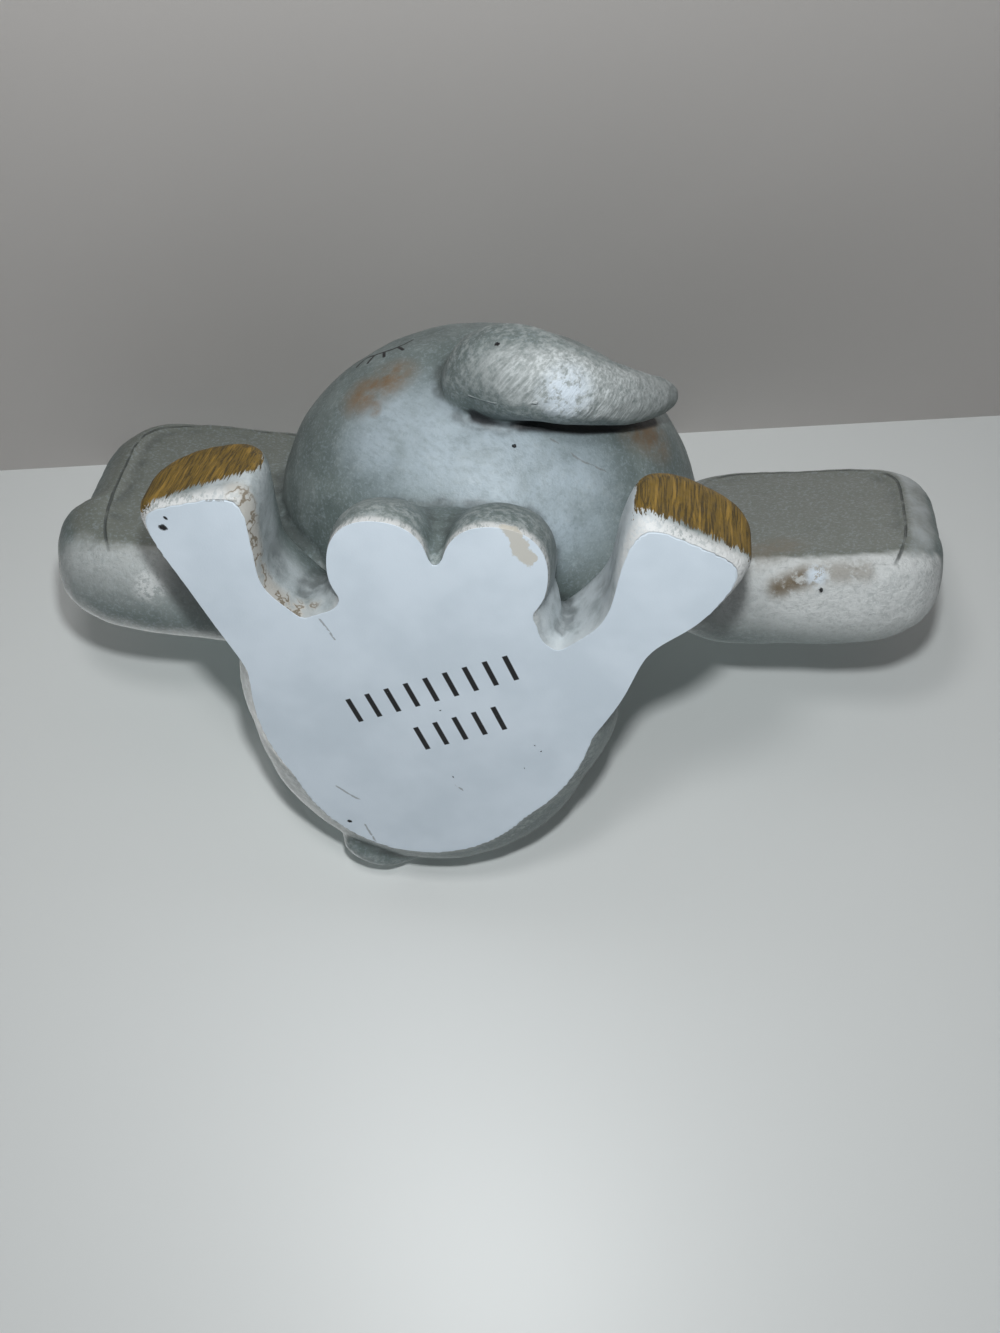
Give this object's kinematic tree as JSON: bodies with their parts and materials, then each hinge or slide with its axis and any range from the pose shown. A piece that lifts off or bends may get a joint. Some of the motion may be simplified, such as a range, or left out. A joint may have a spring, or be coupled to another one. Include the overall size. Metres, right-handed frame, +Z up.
{
  "type": "elephant figurine",
  "caption": "Seated baby elephant figurine: big round head, broad squared ears, upswept trunk, splayed hind feet and small front paws, cast in one solid piece on a flat underside.",
  "frame": {"origin": "middle of the flat underside, on the surface that the figurine stands on", "axes": "+Z up out of the underside, -Y the way the elephant faces, +X towards its left ear"},
  "size_m": [0.1341, 0.0795, 0.0696],
  "materials": {
    "painted_resin": "satin grey-green paint, dry-brushed with white"
  },
  "bodies": {
    "root": {"elephant": "painted_resin"}
  },
  "joints": []
}
